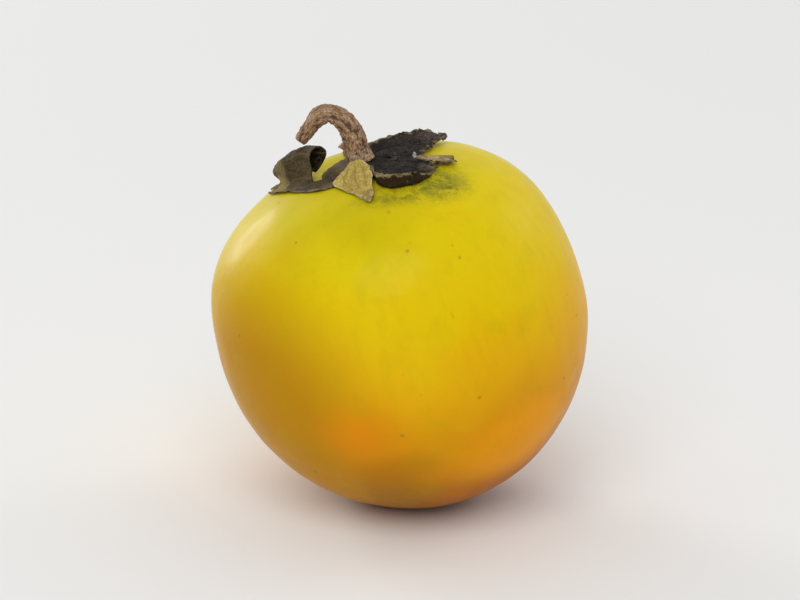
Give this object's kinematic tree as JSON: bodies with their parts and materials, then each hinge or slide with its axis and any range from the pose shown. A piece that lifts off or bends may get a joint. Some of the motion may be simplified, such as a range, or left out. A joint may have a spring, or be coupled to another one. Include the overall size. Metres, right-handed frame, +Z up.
{
  "type": "persimmon",
  "caption": "Whole ripe persimmon with a dried four-lobed calyx and a short hooked woody stalk, resting level on a small flat spot.",
  "frame": {"origin": "centre of the small flat resting spot under the fruit", "axes": "+Z up, out of the surface that the fruit rests on; +X to the right of the view in which the stalk hooks to the left; the fruit's own blossom-to-stalk line leans 18 degrees from +Z towards -X"},
  "size_m": [0.0703, 0.0687, 0.077],
  "materials": {
    "skin": "waxy satin fruit skin, yellow-green at the stalk end turning to orange at the blossom end",
    "calyx": "dried leaf, matt, olive brown with veins",
    "calyx_dark": "dried leaf, nearly black with a purple cast and papery pale margins",
    "calyx_tan": "dried leaf, tan yellow with brown net veins",
    "bark": "rough pinkish-brown bark"
  },
  "bodies": {
    "root": {"fruit_body": "skin", "calyx_disc": "calyx", "calyx_lobe_left": "calyx", "calyx_lobe_right": "calyx_dark", "calyx_lobe_front": "calyx_tan", "calyx_lobe_back": "calyx", "stem": "bark"}
  },
  "joints": []
}
